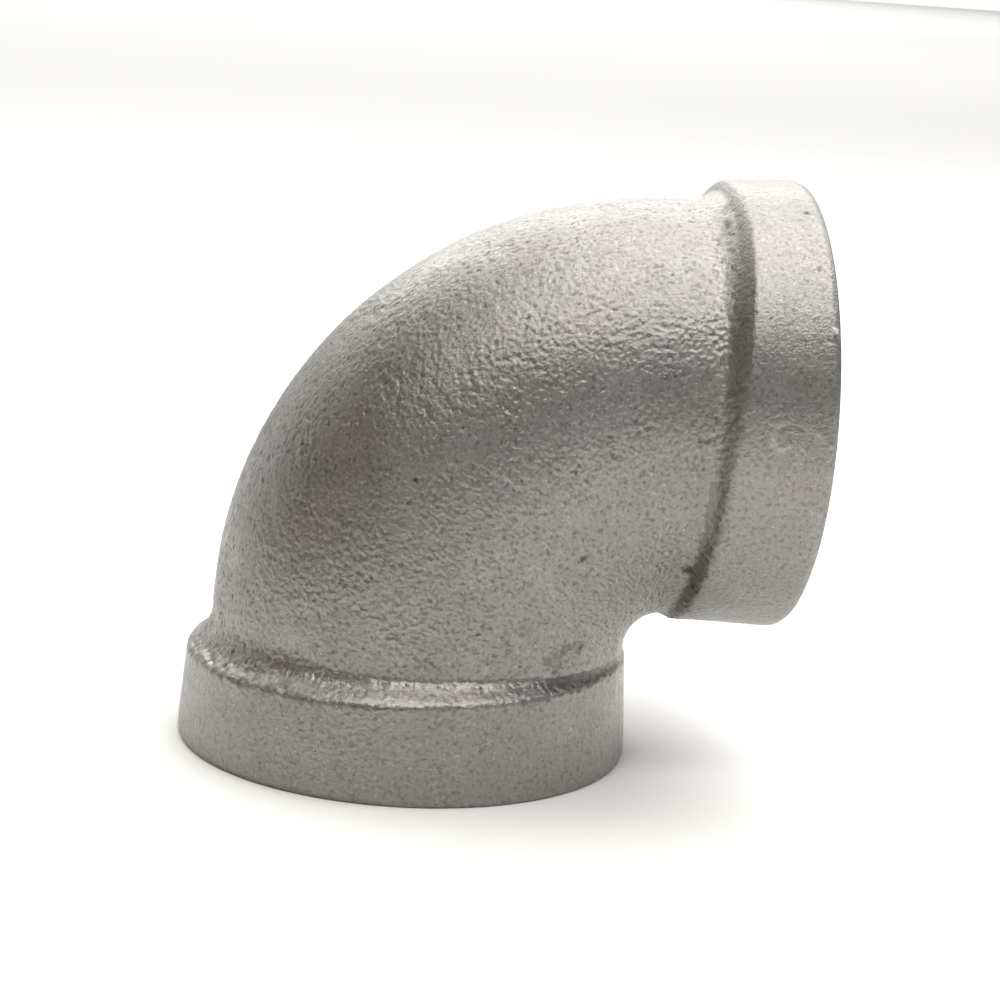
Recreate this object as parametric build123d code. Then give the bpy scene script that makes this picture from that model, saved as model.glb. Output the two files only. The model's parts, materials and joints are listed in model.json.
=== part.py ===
from build123d import *
import math
import os

# Hot-dip galvanised malleable-iron pipe elbow, 90 degrees, 1-1/2 inch, with a raised band
# and a female pipe thread at each end. Millimetres.
# Origin: the centre of the lower end's machined face. The lower end's axis is Z, and the
# elbow stands on that face. The side end opens towards +X. The two axes meet at the corner
# point, which is as high as the side end is far out.

# The two ends. The bands are as cast, so they differ a little.
centre_to_face = 49.3  # from the corner point to each machined face
lower_band_radius = 30.8  # at the rim, where the band is widest
lower_band_width = 13.3  # from the face to the band's inner edge, half way round
lower_band_draft = 0.95  # how much smaller the band's radius is at its inner edge
lower_band_lean = 1.0  # how much narrower the band is at the back of the bend
side_band_radius = 30.5
side_band_width = 12.3
side_band_draft = 0.6
side_band_lean = 2.3
side_band_drop = 0.3  # how far its centre lies off the thread's axis, towards the throat
rim_rounding = 1.4  # as cast, before the face is machined
facing_cut = 0.35  # how much of the rounded rim the facing cut takes off
shoulder_length = 2.0  # the slope from the band's inner edge down to the body
shoulder_rounding = 1.2
shoulder_foot_radius = 26.2  # the slope's foot lies just inside the body's wall

# The body between them
body_half_width = 26.6  # across the bend, square to both axes
back_centre = 32.0  # centre of the outer bend's arc, from both axes
back_radius = back_centre + body_half_width
throat_centre = 33.9  # centre of the inner bend's small arc, from both axes
throat_radius = 4.4
body_overlap = 9.0  # how far the body runs on, straight, inside each band
section_step = 7.5  # degrees between the body's sections

# The waterway
chamber_radius = 24.05  # of the iron, in the bend between the two threads
coat_thickness = 0.12  # hot-dip zinc

# Pipe thread Rp 1-1/2: parallel, right hand, 11 turns an inch, 55 degree flanks
thread_pitch = 25.4 / 11
thread_length = centre_to_face - back_centre  # from the face to the start of the bend
thread_root_radius = 23.9
thread_root_flat = 0.38
thread_crest_flat = 0.7  # left by the tapping hole
thread_half_angle = math.radians(27.5)
groove_width = thread_pitch - thread_crest_flat  # at the crest
thread_depth = (groove_width - thread_root_flat) / (2 * math.tan(thread_half_angle))
thread_crest_radius = thread_root_radius - thread_depth
mouth_radius = 24.4  # of the 45 degree chamfer at the face
groove_overlap = 0.3  # how far the groove's cutter reaches into the open bore
groove_run_out = 1.8  # how far it runs on, past the face and into the chamber

corner = Vector(0, 0, centre_to_face)
to_side_end = Pos(*corner) * Rot(0, -90, 0) * Pos(*-corner)

# Round surfaces that share an axis are turned about it by different angles, so that the
# seams where they close lie apart. The joining and cutting of solids needs that.
band_seam = Rot(0, 0, 35)
cap_seam = Rot(0, 0, 150)
chamber_seam = Rot(0, 0, 70)
thread_seam = Rot(0, 0, 110)


def both_ends(shape):
    """The shape at the lower end and its copy at the side end, as a list."""
    return [shape, to_side_end * shape]


def band(radius, width, draft, lean, coat):
    """A band and its shoulder, at the lower end, grown all over by the coat.

    The shoulder is leant over about Y, which makes the band narrower towards -X.
    """
    far = width + 2 * shoulder_length
    rim = (radius, -facing_cut)
    wall = make_face(Polyline((0, -facing_cut), rim, (radius - draft * far / width, far), (0, far), close=True))
    wall = fillet(wall.vertices().sort_by_distance(rim)[0], rim_rounding)
    edge_radius = radius - draft
    slope = shoulder_length / (edge_radius - shoulder_foot_radius)
    outer_edge = edge_radius + shoulder_length
    cap = make_face(
        Polyline(
            (0, -far),
            (outer_edge, -far),
            (outer_edge, width - shoulder_length * slope),
            (shoulder_foot_radius, width + shoulder_length),
            (0, width + shoulder_length),
            close=True,
        )
    )
    if coat:
        wall = offset(wall, coat)
        cap = offset(cap, coat)
    above_face = Pos(centre_to_face / 2, centre_to_face / 2)
    wall = wall & above_face * Rectangle(centre_to_face, centre_to_face)
    cap = cap & Pos(centre_to_face / 2, 0) * Rectangle(centre_to_face, 2 * centre_to_face)
    wall = band_seam * revolve(Plane.XZ * wall, Axis.Z)
    pivot = Pos(0, 0, width)
    leaning = pivot * Rot(0, -math.degrees(lean / edge_radius), 0) * pivot.inverse()
    cap = leaning * cap_seam * revolve(Plane.XZ * cap, Axis.Z)
    solid = wall & cap
    crown = solid.edges().filter_by(lambda edge: on_crown(edge, edge_radius + coat, width))
    return fillet(crown, shoulder_rounding)


def on_crown(edge, radius, width):
    """Whether an edge is part of the band's inner edge, where wall and shoulder meet."""
    middle = edge @ 0.5
    near_wall = abs(math.hypot(middle.X, middle.Y) - radius) < 1
    return near_wall and abs(middle.Z - width) < shoulder_length + 1


def body_section(angle, coat):
    """The body's ellipse at an angle round the bend: 0 is the lower end, 90 the side."""
    turn = math.radians(angle)
    outward = Vector(-math.cos(turn), 0, math.sin(turn))
    back = corner + Vector(back_centre, 0, -back_centre) + outward * (back_radius + coat)
    throat = corner + Vector(throat_centre, 0, -throat_centre)
    throat = throat + outward * (throat_radius - coat)
    across = back - throat
    square = Vector(0, 1, 0)
    plane = Plane(origin=(back + throat) / 2, x_dir=square, z_dir=across.cross(square))
    return plane * Ellipse(body_half_width + coat, across.length / 2)


def body(coat):
    """The bend's outside as a solid, with a straight run into each band."""
    steps = round(90 / section_step)
    bend = loft([body_section(i * section_step, coat) for i in range(steps + 1)])
    lower_run = extrude(body_section(0, coat), body_overlap, dir=(0, 0, -1))
    side_run = extrude(body_section(90, coat), body_overlap, dir=(1, 0, 0))
    return bend + lower_run + side_run


def outside(coat):
    """Everything inside the elbow's outer surface, grown by the coat but not past a face."""
    lower = band(lower_band_radius, lower_band_width, lower_band_draft, lower_band_lean, coat)
    side = band(side_band_radius, side_band_width, side_band_draft, -side_band_lean, coat)
    return body(coat) + lower + Pos(0, 0, -side_band_drop) * to_side_end * side


def chamber(radius):
    """The bent part of the waterway, from one thread to the other."""
    disc = Plane.XY.offset(thread_length) * chamber_seam * Circle(radius)
    hinge = Axis((back_centre, 0, thread_length), (0, 1, 0))
    return revolve(disc, hinge, 90)


def tapping_hole():
    """The hole that one end's thread is cut in, with the chamfer at its mouth."""
    chamfer_depth = mouth_radius - thread_crest_radius
    section = make_face(
        Polyline(
            (0, 0),
            (mouth_radius, 0),
            (thread_crest_radius, chamfer_depth),
            (thread_crest_radius, thread_length),
            (0, thread_length),
            close=True,
        )
    )
    return thread_seam * revolve(Plane.XZ * section, Axis.Z)


def thread_groove():
    """The helical groove between the thread's crests, from outside the face to the chamber."""
    length = thread_length + 2 * groove_run_out
    path = Helix(thread_pitch, length, thread_crest_radius, center=(0, 0, -groove_run_out))
    inner_half = groove_width / 2 + groove_overlap * math.tan(thread_half_angle)
    outer_half = thread_root_flat / 2
    cutter = make_face(
        Polyline(
            (-groove_overlap, -inner_half),
            (thread_depth, -outer_half),
            (thread_depth, outer_half),
            (-groove_overlap, inner_half),
            close=True,
        )
    )
    start = Plane(origin=path @ 0, x_dir=(1, 0, 0), z_dir=path % 0)
    return thread_seam * sweep(start * cutter, path=path, is_frenet=True)


def iron_casting():
    """The malleable-iron casting, faced and tapped."""
    blank = outside(0) - chamber(chamber_radius) - both_ends(tapping_hole())
    return blank - both_ends(thread_groove())


def outer_zinc_coat():
    """The zinc on the outside. The facing cut has removed it from the end faces."""
    return outside(coat_thickness) - outside(0)


def inner_zinc_coat():
    """The zinc in the chamber. Tapping has removed it from the threads."""
    return chamber(chamber_radius) - chamber(chamber_radius - coat_thickness)


os.makedirs("parts", exist_ok=True)
for make in (iron_casting, outer_zinc_coat, inner_zinc_coat):
    piece = make()
    export_step(piece, f"parts/{make.__name__}.step")
    print(make.__name__, "volume", round(piece.volume), "mm3")
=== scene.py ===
import json
import math

import bpy
import numpy as np
from mathutils import Matrix, Vector, noise
from mathutils.bvhtree import BVHTree


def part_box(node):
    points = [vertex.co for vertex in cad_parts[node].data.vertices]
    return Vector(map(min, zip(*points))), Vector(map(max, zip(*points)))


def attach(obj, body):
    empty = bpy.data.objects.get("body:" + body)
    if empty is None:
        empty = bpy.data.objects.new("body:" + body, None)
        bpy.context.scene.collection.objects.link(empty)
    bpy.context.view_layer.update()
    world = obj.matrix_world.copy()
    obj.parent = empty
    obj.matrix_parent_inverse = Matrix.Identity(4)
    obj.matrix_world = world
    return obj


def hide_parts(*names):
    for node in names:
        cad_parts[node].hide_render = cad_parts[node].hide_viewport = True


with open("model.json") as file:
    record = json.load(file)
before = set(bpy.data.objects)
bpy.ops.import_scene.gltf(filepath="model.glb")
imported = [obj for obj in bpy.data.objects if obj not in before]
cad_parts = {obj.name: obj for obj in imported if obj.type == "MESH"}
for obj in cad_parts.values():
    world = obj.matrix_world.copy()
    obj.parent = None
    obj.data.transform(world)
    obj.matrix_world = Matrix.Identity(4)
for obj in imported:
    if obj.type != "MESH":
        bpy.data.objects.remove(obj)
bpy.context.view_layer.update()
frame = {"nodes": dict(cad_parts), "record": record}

# ---------------------------------------------------------------- sizes, in metres
MM = 0.001
mounts = {mount["name"]: mount for mount in frame["record"]["mounts"]}
REACH = mounts["side_face"]["pos_m"][0]  # from the corner point to each end face
BEND_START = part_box("inner_zinc_coat")[0].z  # up the lower axis, where the bend begins
BEND_RADIUS = REACH - BEND_START
CORNER = Vector((0, 0, REACH))
HINGE = Vector((BEND_RADIUS, 0, BEND_START))  # the bend's centre
BEND_LENGTH = BEND_RADIUS * math.pi / 2
ROUTE_LENGTH = 2 * BEND_START + BEND_LENGTH  # along the centreline, face to face

AROUND = 720  # points round each ring of the outer skin, and half as many inside
INNER_RINGS = 160
BODY_RADIUS = 26 * MM  # of the body, nearly, for spacing its rings
COAT_THICKNESS = 0.12 * MM
RING_GAP_STRAIGHT = 0.22 * MM  # between rings in the two bands
RING_GAP_BACK = 0.3 * MM  # between rings on the back of the bend
FAR = 80 * MM  # further than any surface from the centreline
SKIN_EMBED = 0.05 * MM  # the skin's hidden side lies this deep in the iron
DEEPEST_HOLLOW = 0.095 * MM  # so that the iron under the zinc never shows
THINNEST_ZINC = 0.015 * MM  # left over the iron in the deepest hollow
HIDDEN_RING_STEP = 8  # the outer skin's hidden side has one ring for this many outside
BAND_EDGE = (11.5 * MM, 13.5 * MM)  # the bands' finer skin ends between these, from the face


def station(distance):
    """(point, radial up, radial across) of the centreline at a distance from the lower face.

    Up points to the back of the bend and across is +Y, both square to the centreline.
    """
    across = Vector((0, 1, 0))
    if distance <= BEND_START:
        return Vector((0, 0, distance)), Vector((-1, 0, 0)), across
    if distance >= BEND_START + BEND_LENGTH:
        out = distance - BEND_START - BEND_LENGTH + BEND_RADIUS
        return Vector((out, 0, REACH)), Vector((0, 0, 1)), across
    turn = (distance - BEND_START) / BEND_RADIUS
    back = Vector((-math.cos(turn), 0, math.sin(turn)))
    return HINGE + back * BEND_RADIUS, back, across


def ring_distances():
    """Distances along the centreline of the outer skin's rings, closer in the bands."""
    straight = round(BEND_START / RING_GAP_STRAIGHT)
    back_length = (BEND_RADIUS + BODY_RADIUS) * math.pi / 2
    bend = round(back_length / RING_GAP_BACK)
    lower = np.linspace(0, BEND_START, straight, endpoint=False)
    middle = np.linspace(BEND_START, BEND_START + BEND_LENGTH, bend, endpoint=False)
    side = np.linspace(BEND_START + BEND_LENGTH, ROUTE_LENGTH, straight + 1)
    return np.concatenate([lower, middle, side])


def tree_of(node):
    """A search tree of a CAD node's surface."""
    return BVHTree.FromObject(frame["nodes"][node], bpy.context.evaluated_depsgraph_get())


def coat_radii(tree, distances, angles):
    """Radius of the zinc coat's inside and outside, for every ring and angle."""
    inside = np.zeros((len(distances), len(angles)))
    outside = np.zeros_like(inside)
    step = 0.02 * MM
    for i, distance in enumerate(distances):
        shown = min(max(distance, step), ROUTE_LENGTH - step)
        centre, up, across = station(shown)
        for j, angle in enumerate(angles):
            ray = up * math.cos(angle) + across * math.sin(angle)
            hit = tree.ray_cast(centre, ray, FAR)
            inside[i, j] = hit[3]
            further = tree.ray_cast(hit[0] + ray * step, ray, FAR)
            outside[i, j] = hit[3] + step + further[3] if further[0] else hit[3]
    return inside, outside


def points_at(distances, angles, radii):
    """The 3-D points (ring, angle, 3) at those radii."""
    rings = []
    for i, distance in enumerate(distances):
        centre, up, across = station(distance)
        spokes = np.outer(np.cos(angles), up) + np.outer(np.sin(angles), across)
        rings.append(np.array(centre) + spokes * radii[i][:, None])
    return np.array(rings)


def blurred(field, passes):
    """The field softened with its neighbours, round each ring and along the rings."""
    for _ in range(passes):
        field = (np.roll(field, 1, axis=1) + 2 * field + np.roll(field, -1, axis=1)) / 4
        padded = np.concatenate([field[:1], field, field[-1:]])
        field = (padded[:-2] + 2 * padded[1:-1] + padded[2:]) / 4
    return field


def grain(points, size, seed):
    """Smooth noise, about -1 to 1, at points (N, 3) in metres, with bumps of that size."""
    shift = Vector((seed * 17.3, seed * 5.1, seed * 9.7))
    return np.array([noise.noise(Vector(p) / size + shift) for p in points])


def softened(field, reach):
    """The field softened along the rings only, by a bell curve this many rings wide."""
    offsets = range(-3 * reach, 3 * reach + 1)
    weights = np.exp([-0.5 * (offset / reach) ** 2 for offset in offsets])
    padded = np.pad(field, ((3 * reach, 3 * reach), (0, 0)), mode="edge")
    total = np.zeros_like(field)
    for k, weight in enumerate(weights):
        total += weight * padded[k : k + len(field)]
    return total / weights.sum()


def smooth_step(x, low, high):
    """0 below low, 1 above high, and smooth between them."""
    t = np.clip((x - low) / (high - low), 0, 1)
    return t * t * (3 - 2 * t)


def shell_mesh(name, outer, inner):
    """A closed shell from a fine outer grid and an inner grid, joined at both open ends.

    Both are (ring, angle, 3). The inner one may have fewer rings.
    """
    count = outer.shape[1]
    vertices = np.concatenate([outer.reshape(-1, 3), inner.reshape(-1, 3)])
    inner_start = outer.shape[0] * count
    here = np.arange(count)
    after = np.roll(here, -1)

    def strip(low, high):
        return np.stack([low + here, low + after, high + after, high + here], axis=1)

    quads = [strip(i * count, (i + 1) * count) for i in range(outer.shape[0] - 1)]
    for i in range(inner.shape[0] - 1):
        low = inner_start + i * count
        quads.append(strip(low, low + count)[:, ::-1])
    last_outer = (outer.shape[0] - 1) * count
    last_inner = inner_start + (inner.shape[0] - 1) * count
    quads.append(strip(0, inner_start)[:, ::-1])
    quads.append(strip(last_outer, last_inner))
    faces = np.concatenate(quads)
    mesh = bpy.data.meshes.new(name)
    mesh.from_pydata(vertices.tolist(), [], faces.tolist())
    mesh.polygons.foreach_set("use_smooth", np.ones(len(faces), bool))
    mesh.update()
    piece = bpy.data.objects.new(name, mesh)
    bpy.context.scene.collection.objects.link(piece)
    return piece


def spread_round(field, angles, coarse):
    """The field read on every coarse-th angle, filled in on all of them."""
    filled = np.zeros((field.shape[0], len(angles)))
    filled[:, ::coarse] = field
    following = np.roll(field, -1, axis=1)
    for k in range(1, coarse):
        filled[:, k::coarse] = field + (following - field) * k / coarse
    return filled


def add_attribute(piece, name, values):
    """A named number on each of the piece's points, for its material to read."""
    attribute = piece.data.attributes.new(name, "FLOAT", "POINT")
    padded = np.zeros(len(piece.data.vertices), np.float32)
    padded[: len(values)] = values
    attribute.data.foreach_set("value", padded)


# ---------------------------------------------------------------- the zinc skin outside
# Places on the skin are (millimetres along the centreline, degrees round it from the back).
# Minus 90 degrees is the side that the camera sees.
# The slots are cut into the relief and also painted dark, as painted shade.
SLOTS = (((73.3, -14), (73, -19)), ((72.6, -22.5), (72.3, -31)))  # in the side band's foot
SLOT_WIDTH = 0.75
SMEAR = ((67.6, -43), (67.4, -54))  # where the zinc ran smooth and dull
# The dark pits are sunk into the relief and painted dark inside, as painted shade.
DARK_PITS = (  # (place, size in millimetres), and so are the stains and single spots below
    ((69.3, -133), 0.9),
    ((70.6, -138), 0.7),
    ((44.2, -116.7), 0.4),
    ((36.4, -66.3), 0.4),
    ((82.7, -25.5), 0.5),
)
STAINS = (
    ((18.1, -124.4), 0.9),
    ((16.4, -127.5), 0.9),
    ((19.8, -127), 1.0),
    ((21.5, -129.5), 0.9),
    ((21.7, -134.5), 1.0),
)
# a patch of sharper pebbles with painted glints
FLECKED_PATCH = ((21.5, -80), 5.5)
TAN_SPOT = ((26.1, -114.8), 1.3)
PALE_LINE = ((75.5, -85.5), (77, -85.8), (78.5, -84.8), (81.3, -86.2), (83.1, -88.9), (84, -90.5))
PALE_LOOP = ((76.4, -87.5), (76.8, -91), (78, -92), (78.5, -90))
SCRATCH = ((42.6, -79.5), (43.2, -82.5), (43.6, -86), (43.8, -89.5))
BURR = ((84.5, -63.7), 0.6)
# The rim pit's sunken centre is painted dark, as painted shade.
RIM_PIT = ((82.7, -46.2), 0.5)
DROSS_ANGLES = (-62, 4)  # ragged dross hangs on the lower shoulder between these
DROSS_PLACE = 12.9 * MM  # from the lower face
DROSS_SPREAD = 0.9 * MM
FLECKS_PLACE = 14.4 * MM  # of the bright flecks on both shoulders, from the face; their paleness is painted glints and a painted highlight
FLECKS_SPREAD = 1.1 * MM

# How far apart the bumps of each kind of relief are
WORM_SIZE = 0.8 * MM
PEBBLE_SIZE = 0.43 * MM
PATCH_SIZE = 6 * MM  # of the areas with stronger and weaker pebbles
PIT_SIZE = 0.5 * MM
LUMP_SIZE = 2.4 * MM
SWELL_SIZE = 13 * MM
DROSS_SIZE = 1.1 * MM
FLECK_SIZE = 0.5 * MM

# How high or deep each kind is
PEBBLE_HEIGHT = 0.12 * MM
LUMP_HEIGHT = 0.045 * MM
SWELL_HEIGHT = 0.12 * MM
PIT_DEPTH = 0.08 * MM
BODY_RAISE = 0.06 * MM  # the zinc is that much thicker on the body than on the bands
SLOT_DEPTH = 0.25 * MM
DARK_PIT_DEPTH = 0.15 * MM
STAIN_DEPTH = 0.06 * MM
PALE_LINE_HEIGHT = 0.06 * MM
BURR_HEIGHT = 0.35 * MM
RIM_PIT_DEPTH = 0.12 * MM
DROSS_HEIGHT = 0.3 * MM
FLECK_HEIGHT = 0.13 * MM
RELIEF_START = 0.6 * MM  # the relief grows from nothing at a face to full here

# The metal pooled at the shoulders' feet
EDGE_PASSES = 6  # of softening, for the corners
WIDE_FOOT = 8  # rings
NARROW_FOOT = 3  # rings
FOOT_SINK = 0.05 * MM
THROAT_SINK = 2 * MM  # far enough under the coat that no foot shows in the throat


class Surface:
    """The skin's points, with the distance and angle of each, and its relief so far."""

    def __init__(self, distances, angles, radii):
        self.distances = distances
        self.angles = angles
        self.radii = radii
        self.points = points_at(distances, angles, radii).reshape(-1, 3)
        self.along = np.repeat(distances, len(angles))
        self.round = np.degrees((np.tile(angles, len(distances)) + math.pi) % (2 * math.pi) - math.pi)
        self.relief = np.zeros(len(self.points))

    def place(self, spot):
        """The 3-D point at (millimetres along, degrees round)."""
        i = int(np.argmin(abs(self.distances - spot[0] * MM)))
        j = round(math.radians(spot[1]) % (2 * math.pi) / (2 * math.pi) * len(self.angles))
        return self.points[i * len(self.angles) + j % len(self.angles)]

    def raised(self, relief):
        """The points moved along the surface's own normals, as a (ring, angle, 3) grid."""
        grid = self.points.reshape(len(self.distances), len(self.angles), 3)
        onward = np.gradient(grid, axis=0)
        sideways = np.roll(grid, -1, axis=1) - np.roll(grid, 1, axis=1)
        normals = np.cross(onward, sideways)
        normals /= np.linalg.norm(normals, axis=2, keepdims=True)
        outward = grid - points_at(self.distances, self.angles, np.zeros_like(self.radii))
        facing = np.sign((normals * outward).sum(axis=2, keepdims=True))
        return grid + normals * facing * relief.reshape(*self.radii.shape, 1)

    def blob(self, spot, size, ragged=0.0, seed=0):
        """1 at the spot, falling to 0 about size millimetres away, with a ragged edge."""
        away = np.linalg.norm(self.points - self.place(spot), axis=1) / (size * MM)
        shape = np.zeros(len(away))
        near = away < 3
        away = away[near]
        if ragged:
            away = away + ragged * grain(self.points[near], 0.5 * size * MM, seed)
        shape[near] = 1 - smooth_step(away, 0.5, 1.3)
        return shape

    def line(self, spots, width):
        """1 along a wandering line through the spots, falling to 0 at its width in millimetres."""
        shape = np.zeros(len(self.points))
        steps = 14
        for start, end in zip(spots, spots[1:]):
            for k in range(steps):
                t = k / steps
                wobble = 0.25 * math.sin(9.1 * (start[0] + start[1] + 2 * t))
                spot = (start[0] + (end[0] - start[0]) * t + wobble, start[1] + (end[1] - start[1]) * t)
                away = np.linalg.norm(self.points - self.place(spot), axis=1) / (width * MM)
                shape = np.maximum(shape, 1 - smooth_step(away, 0.3, 1))
        return shape * np.clip(0.55 + 1.1 * grain(self.points, 0.9 * MM, 90), 0, 1)


def outer_skin():
    """The pebbled hot-dip zinc on the casting's outside, as a closed shell."""
    distances = ring_distances()
    angles = np.linspace(0, 2 * math.pi, AROUND, endpoint=False)
    coarse = 2
    tree = tree_of("outer_zinc_coat")
    inside, outside = coat_radii(tree, distances, angles[::coarse])
    inside = spread_round(inside, angles, coarse)
    outside = spread_round(outside, angles, coarse)
    soft = np.maximum(filled_foot(outside, angles), inside + DEEPEST_HOLLOW + THINNEST_ZINC)
    surface = Surface(distances, angles, soft)
    from_face = np.minimum(surface.along, ROUTE_LENGTH - surface.along)
    on_band = 1 - smooth_step(from_face, *BAND_EDGE)
    pebbles, pits = add_texture(surface, on_band)
    stain, pale, dark = add_marks(surface, pits)
    relief = np.maximum(surface.relief, -DEEPEST_HOLLOW) * smooth_step(from_face, 0, RELIEF_START)
    outer = surface.raised(relief)
    last = len(distances) - 1
    inner_rings = np.unique(np.append(np.arange(0, len(distances), HIDDEN_RING_STEP), last))
    inner = points_at(distances[inner_rings], angles, inside[inner_rings] - SKIN_EMBED)
    skin = shell_mesh("zinc_skin_outside", outer, inner)
    add_attribute(skin, "pebble", np.clip(0.5 + 0.5 * pebbles, 0, 1))
    add_attribute(skin, "on_band", on_band)
    add_attribute(skin, "stain", stain)
    # pale: real pale lines and a scratch, plus painted glints and a painted highlight on the shoulders
    add_attribute(skin, "pale", pale)
    # dark: painted shade in the pits, slots and hollows
    add_attribute(skin, "dark", dark)
    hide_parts("outer_zinc_coat")
    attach(skin, "root")
    return skin


def filled_foot(outside, angles):
    """The coat's outside with softened corners, and metal pooled at the shoulders' feet.

    The foot is wide on the back of the bend and narrow at its sides, and there is none in
    the throat, where the body meets the bands straight.
    """
    soft = blurred(outside, EDGE_PASSES)
    soft[0], soft[-1] = outside[0], outside[-1]
    on_back = smooth_step(np.cos(angles), 0.3, 0.95)
    in_throat = smooth_step(-np.cos(angles), 0.5, 0.87)
    wide = softened(outside, WIDE_FOOT) - FOOT_SINK
    narrow = softened(outside, NARROW_FOOT) - FOOT_SINK - THROAT_SINK * in_throat
    return np.maximum(soft, on_back * wide + (1 - on_back) * narrow)


def add_texture(surface, on_band):
    """Adds pebbles, small pits, lumps and swells to the relief. Returns (pebbles, pits)."""
    points = surface.points
    worms = 1 - 3.2 * abs(grain(points, WORM_SIZE, 1))
    pebbles = 0.35 * worms + 0.95 * grain(points, PEBBLE_SIZE, 2)
    patchy = 0.85 + 0.6 * grain(points, PATCH_SIZE, 5)
    pits = smooth_step(grain(points, PIT_SIZE, 6), 0.4, 0.58) * (1 - 0.6 * on_band)
    lumps = grain(points, LUMP_SIZE, 3)
    swell = grain(points, SWELL_SIZE, 4)
    surface.relief += PEBBLE_HEIGHT * pebbles * patchy * (1 - 0.5 * on_band)
    surface.relief += LUMP_HEIGHT * lumps * (1 - 0.5 * on_band)
    surface.relief += SWELL_HEIGHT * swell * (1 - 0.7 * on_band)
    surface.relief -= PIT_DEPTH * pits
    surface.relief += BODY_RAISE * (1 - on_band)
    return pebbles, pits


def add_marks(surface, pits):
    """Adds the casting's own marks to the relief. Returns (stain, pale, dark) amounts: pale is real pale
    lines and a scratch plus painted glints and a painted highlight, and dark is painted shade in the pits,
    slots and hollows.
    """
    stain = np.zeros(len(surface.points))
    pale = np.zeros_like(stain)
    # dark is painted shade: it darkens the pits, slots, the rim pit's centre and the dross hollows
    dark = 0.5 * pits
    for spots in SLOTS:
        slot = surface.line(spots, SLOT_WIDTH)
        surface.relief -= SLOT_DEPTH * slot
        dark = np.maximum(dark, 0.8 * slot)
    for k, (spot, size) in enumerate(DARK_PITS):
        pit = surface.blob(spot, size, 0.6, 40 + k)
        surface.relief -= DARK_PIT_DEPTH * pit
        dark = np.maximum(dark, 0.9 * pit)
    for k, (spot, size) in enumerate(STAINS):
        stain = np.maximum(stain, surface.blob(spot, size, 1.1, 50 + k))
    surface.relief -= STAIN_DEPTH * stain
    stain = np.maximum(stain, 0.45 * surface.blob(*TAN_SPOT, 0.4, 59))
    smear = surface.line(SMEAR, 1.2)
    surface.relief *= 1 - 0.8 * smear
    stain = np.maximum(stain, 0.4 * smear)
    for spots, width in ((PALE_LINE, 0.45), (PALE_LOOP, 0.4), (SCRATCH, 0.3)):
        ridge = surface.line(spots, width)
        surface.relief += PALE_LINE_HEIGHT * ridge
        pale = np.maximum(pale, ridge)
    burr = surface.blob(*BURR, 0.4, 60)
    surface.relief += BURR_HEIGHT * burr
    ring = surface.blob(RIM_PIT[0], 1.5 * RIM_PIT[1]) - 1.6 * surface.blob(*RIM_PIT)
    surface.relief += RIM_PIT_DEPTH * ring
    dark = np.maximum(dark, -0.7 * ring)
    dross_shade = add_dross(surface)
    # painted highlight and painted glints on the shoulders and the patch, joined to the real pale lines
    painted_highlight = add_flecks_and_painted_highlight(surface)
    pale = np.maximum(pale, painted_highlight)
    # painted shade in the dross hollows
    dark = np.maximum(dark, 0.6 * dross_shade)
    return stain, pale, dark


def add_dross(surface):
    """Ragged lumps and hollows on the lower band's shoulder. Returns the painted shade for their hollows."""
    low, high = DROSS_ANGLES
    here = smooth_step(surface.round, low, low + 12) * (1 - smooth_step(surface.round, high - 4, high + 12))
    across = np.exp(-(((surface.along - DROSS_PLACE) / DROSS_SPREAD) ** 2))
    here = here * across
    busy = here > 0.01
    ragged = np.zeros(len(here))
    ragged[busy] = grain(surface.points[busy], DROSS_SIZE, 70)
    surface.relief += DROSS_HEIGHT * here * ragged
    # painted shade on the low parts of the dross
    return here * smooth_step(-ragged, 0.1, 0.4)


def add_flecks_and_painted_highlight(surface):
    """Sharper pebbles on the shoulders and in one patch, with painted glints on their tops. Returns how pale
    they are painted: a painted highlight along the shoulders and the painted glints.
    """
    from_face = np.minimum(surface.along, ROUTE_LENGTH - surface.along)
    shoulder = np.exp(-(((from_face - FLECKS_PLACE) / FLECKS_SPREAD) ** 2))
    patch = surface.blob(*FLECKED_PATCH, 0.5, 75)
    here = np.maximum(shoulder, 0.8 * patch)
    busy = here > 0.02
    crisp = np.zeros(len(here))
    crisp[busy] = grain(surface.points[busy], FLECK_SIZE, 76)
    surface.relief += FLECK_HEIGHT * here * crisp
    # the shoulder term is a painted highlight, and the crisp term paints glints on the pebbles' tops
    return 0.25 * shoulder + 0.9 * here * smooth_step(crisp, 0.15, 0.45)


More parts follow.
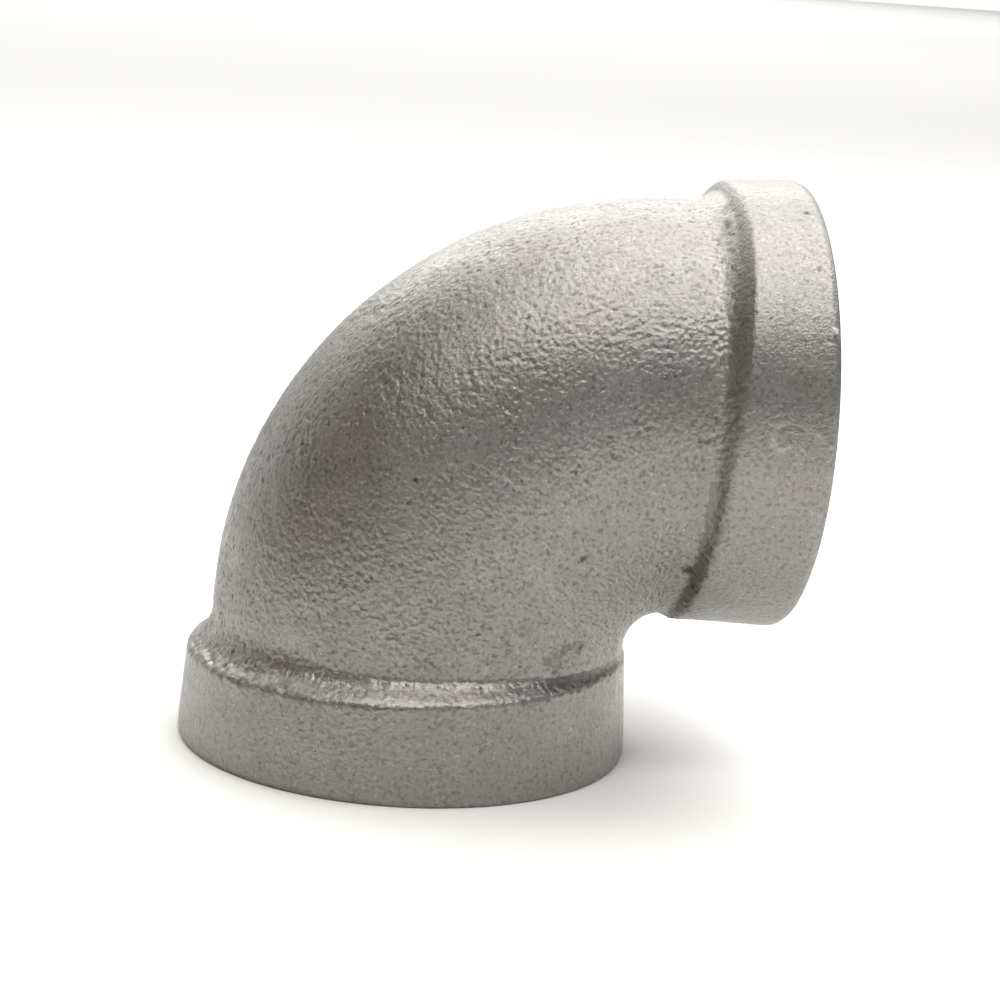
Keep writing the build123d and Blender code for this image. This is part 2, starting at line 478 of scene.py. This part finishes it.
# ---------------------------------------------------------------- the zinc skin inside
def inner_skin():
    """The duller, rougher zinc on the water path's wall, as a closed shell."""
    distances = np.linspace(BEND_START, BEND_START + BEND_LENGTH, INNER_RINGS)
    angles = np.linspace(0, 2 * math.pi, AROUND // 2, endpoint=False)
    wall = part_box("inner_zinc_coat")[1].y
    smooth = np.full((len(distances), len(angles)), wall - COAT_THICKNESS)
    surface = Surface(distances, angles, smooth)
    pebbles = grain(surface.points, 1.1 * MM, 80)
    lumps = grain(surface.points, 4 * MM, 81)
    surface.relief += 0.05 * MM * pebbles + 0.06 * MM * lumps
    fade = np.minimum(surface.along - BEND_START, BEND_START + BEND_LENGTH - surface.along)
    surface.relief *= smooth_step(fade, 0, 0.8 * MM)
    height = smooth + np.minimum(surface.relief.reshape(smooth.shape), DEEPEST_HOLLOW)
    seen = points_at(distances, angles, height)
    hidden = points_at(distances, angles, np.full_like(smooth, wall + SKIN_EMBED))
    hidden[0], hidden[-1] = points_at(distances, angles, np.full_like(smooth, wall))[[0, -1]]
    skin = shell_mesh("zinc_skin_inside", hidden, seen)
    padding = np.full(len(surface.points), 0.5)
    add_attribute(skin, "pebble", np.concatenate([padding, np.clip(0.5 + 0.5 * pebbles, 0, 1)]))
    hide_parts("inner_zinc_coat")
    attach(skin, "root")
    return skin


# ---------------------------------------------------------------- materials
def new_material(name):
    """(material, its node tree, its Principled shader)."""
    material = bpy.data.materials.new(name)
    material.use_nodes = True
    tree = material.node_tree
    shader = tree.nodes["Principled BSDF"]
    return material, tree, shader


def place_node(tree):
    """A node's output that gives each point's place on the object, in metres."""
    return tree.nodes.new("ShaderNodeTexCoord").outputs["Object"]


def noise_node(tree, size, detail=3.0, stretch=(1, 1, 1)):
    """Noise output, 0 to 1, with features about size metres across."""
    scale = tree.nodes.new("ShaderNodeMapping")
    scale.inputs["Scale"].default_value = stretch
    tree.links.new(place_node(tree), scale.inputs["Vector"])
    node = tree.nodes.new("ShaderNodeTexNoise")
    node.inputs["Scale"].default_value = 1 / size
    node.inputs["Detail"].default_value = detail
    tree.links.new(scale.outputs["Vector"], node.inputs["Vector"])
    return node.outputs["Fac"]


def attribute_node(tree, name):
    """The output of one of the mesh's own numbers."""
    node = tree.nodes.new("ShaderNodeAttribute")
    node.attribute_name = name
    return node.outputs["Fac"]


def remap(tree, value, low, high, to_low=0.0, to_high=1.0):
    """The value's range low to high turned into another range, and kept within it."""
    node = tree.nodes.new("ShaderNodeMapRange")
    node.inputs["From Min"].default_value = low
    node.inputs["From Max"].default_value = high
    node.inputs["To Min"].default_value = to_low
    node.inputs["To Max"].default_value = to_high
    tree.links.new(value, node.inputs["Value"])
    return node.outputs["Result"]


def math_node(tree, operation, *values):
    """Arithmetic on outputs and plain numbers."""
    node = tree.nodes.new("ShaderNodeMath")
    node.operation = operation
    for socket, value in zip(node.inputs, values):
        if isinstance(value, (int, float)):
            socket.default_value = value
        else:
            tree.links.new(value, socket)
    return node.outputs["Value"]


def mix_colour(tree, amount, first, second):
    """From the first colour to the second as the amount goes from 0 to 1."""
    node = tree.nodes.new("ShaderNodeMix")
    node.data_type = "RGBA"
    for name, value in (("Factor", amount), ("A", first), ("B", second)):
        kind = "Float" if name == "Factor" else "Color"
        socket = next(s for s in node.inputs if s.identifier == f"{name}_{kind}")
        if isinstance(value, (int, float)):
            socket.default_value = value
        elif isinstance(value, tuple):
            socket.default_value = (*value, 1)
        else:
            tree.links.new(value, socket)
    return next(s for s in node.outputs if s.identifier == "Result_Color")


def add_bump(tree, shader, height, depth):
    """Fine relief, too small for the mesh, of that depth in metres."""
    node = tree.nodes.new("ShaderNodeBump")
    node.inputs["Distance"].default_value = depth
    tree.links.new(height, node.inputs["Height"])
    tree.links.new(node.outputs["Normal"], shader.inputs["Normal"])


ZINC_DARK = (0.12, 0.116, 0.11)
ZINC_LIGHT = (0.28, 0.273, 0.262)
ZINC_OLIVE = (0.26, 0.25, 0.218)
ZINC_ROSY = (0.30, 0.272, 0.256)
# painted glints, on small random flecks
ZINC_PAINTED_GLINT = (0.46, 0.45, 0.43)
# for the real pale lines and scratch, and for the painted glints and painted highlight on the shoulders
PALE_MARK_AND_PAINTED_GLINT = (0.42, 0.4, 0.385)
BROWN_STAIN = (0.13, 0.11, 0.09)
# painted shade, for the pits, slots and hollows
PAINTED_HOLLOW_SHADE = (0.05, 0.045, 0.038)


def zinc_material():
    """Weathered hot-dip zinc: grey with faint olive and rosy clouds, with painted shade in its hollows and
    pits, and painted glints on its flecks and shoulders.
    """
    material, tree, shader = new_material("hot_dip_zinc")
    clouds = remap(tree, noise_node(tree, 9 * MM, 4), 0.35, 0.65)
    tints = remap(tree, noise_node(tree, 22 * MM, 2), 0.4, 0.62)
    tint = mix_colour(tree, tints, ZINC_OLIVE, ZINC_ROSY)
    colour = mix_colour(tree, math_node(tree, "MULTIPLY", clouds, 0.6), ZINC_LIGHT, tint)
    mottle = remap(tree, noise_node(tree, 0.55 * MM, 3), 0.3, 0.48, 0.6, 0.0)
    colour = mix_colour(tree, mottle, colour, ZINC_DARK)
    # painted glints: small random flecks lightened, standing in for glints
    painted_glints = remap(tree, noise_node(tree, 0.5 * MM, 3), 0.58, 0.72, 0.0, 0.5)
    colour = mix_colour(tree, painted_glints, colour, ZINC_PAINTED_GLINT)
    # painted shade: the pebbles' hollows are darkened
    painted_hollow_shade = remap(tree, attribute_node(tree, "pebble"), 0.1, 0.45, 0.45, 0.0)
    colour = mix_colour(tree, painted_hollow_shade, colour, ZINC_DARK)
    for name, strength, paint in (
        # pale: real pale lines and a scratch, plus painted glints and a painted highlight on the shoulders
        ("pale", 0.55, PALE_MARK_AND_PAINTED_GLINT),
        ("stain", 0.6, BROWN_STAIN),
        # dark: painted shade in the pits, slots and hollows
        ("dark", 1.0, PAINTED_HOLLOW_SHADE),
    ):
        amount = math_node(tree, "MULTIPLY", attribute_node(tree, name), strength)
        colour = mix_colour(tree, amount, colour, paint)
    tree.links.new(colour, shader.inputs["Base Color"])
    tree.links.new(remap(tree, noise_node(tree, 5 * MM, 3), 0.3, 0.7, 0.25, 0.39), shader.inputs["Roughness"])
    shader.inputs["Metallic"].default_value = 0.85
    finest = math_node(tree, "MULTIPLY", noise_node(tree, 0.15 * MM, 2), 0.4)
    fine = math_node(tree, "ADD", noise_node(tree, 0.38 * MM, 4), finest)
    add_bump(tree, shader, fine, 0.09 * MM)
    return material


INNER_DULL = (0.30, 0.29, 0.265)
INNER_PALE = (0.46, 0.45, 0.42)
BRIGHT_IRON = (0.50, 0.49, 0.47)
DULLED_IRON = (0.36, 0.345, 0.32)
RUST = (0.2, 0.11, 0.06)
TOOL_FEED = 0.32 * MM  # between the rings that the facing tool left


def inner_zinc_material():
    """The dull, oxidised zinc inside, with paler runs and painted shade in its hollows."""
    material, tree, shader = new_material("inner_zinc")
    clouds = remap(tree, noise_node(tree, 3 * MM, 5), 0.4, 0.6)
    colour = mix_colour(tree, clouds, INNER_DULL, INNER_PALE)
    # painted shade: the pebbles' hollows are darkened
    painted_hollow_shade = remap(tree, attribute_node(tree, "pebble"), 0.1, 0.6, 0.7, 0.0)
    colour = mix_colour(tree, painted_hollow_shade, colour, ZINC_DARK)
    tree.links.new(colour, shader.inputs["Base Color"])
    tree.links.new(remap(tree, noise_node(tree, 3 * MM, 3), 0.3, 0.7, 0.42, 0.6), shader.inputs["Roughness"])
    shader.inputs["Metallic"].default_value = 0.3
    add_bump(tree, shader, noise_node(tree, 0.4 * MM, 4), 0.08 * MM)
    return material


def off_axis(tree):
    """How far each point is from the axis of the end that it belongs to."""
    split = tree.nodes.new("ShaderNodeSeparateXYZ")
    tree.links.new(place_node(tree), split.inputs["Vector"])
    x, y, z = (split.outputs[axis] for axis in "XYZ")
    at_side = math_node(tree, "GREATER_THAN", x, BEND_RADIUS)
    along_side = math_node(tree, "SUBTRACT", z, REACH)
    across = math_node(
        tree,
        "ADD",
        math_node(tree, "MULTIPLY", x, math_node(tree, "SUBTRACT", 1, at_side)),
        math_node(tree, "MULTIPLY", along_side, at_side),
    )
    squares = math_node(
        tree, "ADD", math_node(tree, "MULTIPLY", across, across), math_node(tree, "MULTIPLY", y, y)
    )
    return math_node(tree, "SQRT", squares)


def machined_material():
    """Bare iron where the faces were turned, in fine rings, and the threads were tapped."""
    material, tree, shader = new_material("machined_iron")
    radius = off_axis(tree)
    turns = math_node(tree, "MULTIPLY", radius, 2 * math.pi / TOOL_FEED)
    rings = math_node(tree, "SINE", turns)
    scuffs = noise_node(tree, 0.4 * MM, 4)
    clouds = remap(tree, noise_node(tree, 2.5 * MM, 6), 0.35, 0.7)
    colour = mix_colour(tree, clouds, BRIGHT_IRON, DULLED_IRON)
    streaks = remap(tree, rings, -1, 1, 0.0, 0.12)
    colour = mix_colour(tree, streaks, colour, ZINC_DARK)
    rust = remap(tree, noise_node(tree, 1.6 * MM, 6), 0.64, 0.74, 0.0, 0.5)
    colour = mix_colour(tree, rust, colour, RUST)
    tree.links.new(colour, shader.inputs["Base Color"])
    tree.links.new(remap(tree, noise_node(tree, 2 * MM, 4), 0.3, 0.7, 0.27, 0.42), shader.inputs["Roughness"])
    shader.inputs["Metallic"].default_value = 0.95
    height = math_node(tree, "ADD", math_node(tree, "MULTIPLY", rings, 0.35), scuffs)
    add_bump(tree, shader, height, 0.012 * MM)
    return material


def give_material(piece, material):
    """The piece's one material."""
    piece.data.materials.clear()
    piece.data.materials.append(material)


# ---------------------------------------------------------------- floor, lights, camera
VIEW_AZIMUTH = math.radians(-8.73)
VIEW_ELEVATION = math.radians(12.10)
VIEW_ROLL = math.radians(4.13)
VIEW_DISTANCE = 0.3383
VIEW_SHIFT = (0.01029, -0.01549)  # of the camera from the corner point, to its right and up
LENS = 90.35
SENSOR = 36.0


def add_camera():
    """The camera, turned about its own axis as the hand-held one was."""
    azimuth, elevation = VIEW_AZIMUTH, VIEW_ELEVATION
    back = Vector(
        (
            math.sin(azimuth) * math.cos(elevation),
            -math.cos(azimuth) * math.cos(elevation),
            math.sin(elevation),
        )
    )
    level = Vector((math.cos(azimuth), math.sin(azimuth), 0))
    above = back.cross(level)
    right = math.cos(VIEW_ROLL) * level + math.sin(VIEW_ROLL) * above
    up = back.cross(right)
    place = CORNER + VIEW_DISTANCE * back + VIEW_SHIFT[0] * right + VIEW_SHIFT[1] * up
    turn = Matrix((right, up, back)).transposed().to_4x4()
    data = bpy.data.cameras.new("camera")
    data.lens = LENS
    data.sensor_width = SENSOR
    data.clip_start = 0.01
    camera = bpy.data.objects.new("camera", data)
    camera.matrix_world = Matrix.Translation(place) @ turn
    bpy.context.scene.collection.objects.link(camera)
    bpy.context.scene.camera = camera


FLOOR_REACH = 30.0
FLOOR_BACK = 18.0  # behind the elbow it ends within the far lamp's light, before the pale sky
FLOOR_GREY = (0.86, 0.86, 0.855, 1)


def add_floor():
    """A plain pale floor that the elbow stands on."""
    mesh = bpy.data.meshes.new("floor")
    corners = [
        (-FLOOR_REACH, -FLOOR_REACH, 0),
        (FLOOR_REACH, -FLOOR_REACH, 0),
        (FLOOR_REACH, FLOOR_BACK, 0),
        (-FLOOR_REACH, FLOOR_BACK, 0),
    ]
    mesh.from_pydata(corners, [], [(0, 1, 2, 3)])
    floor = bpy.data.objects.new("floor", mesh)
    bpy.context.scene.collection.objects.link(floor)
    material, tree, shader = new_material("pale_floor")
    shader.inputs["Base Color"].default_value = FLOOR_GREY
    shader.inputs["Roughness"].default_value = 0.9
    shader.inputs["Specular IOR Level"].default_value = 0.2
    mesh.materials.append(material)


FRONT_ROOM = (0.32, 0.32, 0.325)
LEFT_ROOM = (0.24, 0.21, 0.15)
PALE_SKY = (1.0, 1.0, 0.99)


def add_world():
    """Pale light from behind, a dark room low down in front, and an olive wall at the left."""
    world = bpy.data.worlds.new("studio")
    world.use_nodes = True
    tree = world.node_tree
    direction = tree.nodes.new("ShaderNodeTexCoord").outputs["Generated"]
    axes = tree.nodes.new("ShaderNodeSeparateXYZ")
    tree.links.new(direction, axes.inputs["Vector"])
    left = remap(tree, axes.outputs["X"], -0.35, -0.8)
    room = mix_colour(tree, left, FRONT_ROOM, LEFT_ROOM)
    behind = remap(tree, axes.outputs["Y"], 0.2, 0.6)
    shade = tree.nodes["Background"]
    tree.links.new(mix_colour(tree, behind, room, PALE_SKY), shade.inputs["Color"])
    shade.inputs["Strength"].default_value = 1.0
    bpy.context.scene.world = world


WARM_WHITE = (1, 0.988, 0.945)
SOFTBOXES = (  # (name, centre, size, power)
    ("overhead", (0.2, 0.12, 0.78), (1.15, 1.58), 7.9),
    ("front_strip", (0.0, -0.34, 0.75), (1.1, 0.16), 1.9),
    ("top_strip", (0.35, 0.1, 0.75), (0.8, 0.22), 2.0),
    ("near_floor", (0, 2.7, 1.7), (4, 3.4), 27),
    ("far_floor", (0, 12, 4), (7, 15), 520),
)


def add_softbox(name, centre, size, power):
    """A wide soft lamp, level and facing down."""
    data = bpy.data.lights.new(name, "AREA")
    data.shape = "RECTANGLE"
    data.size, data.size_y = size
    data.energy = power
    data.color = WARM_WHITE
    lamp = bpy.data.objects.new(name, data)
    lamp.location = centre
    bpy.context.scene.collection.objects.link(lamp)


bpy.context.scene.view_settings.view_transform = "Standard"
add_camera()
add_world()
add_floor()
for softbox in SOFTBOXES:
    add_softbox(*softbox)
give_material(outer_skin(), zinc_material())
give_material(inner_skin(), inner_zinc_material())
give_material(frame["nodes"]["iron_casting"], machined_material())
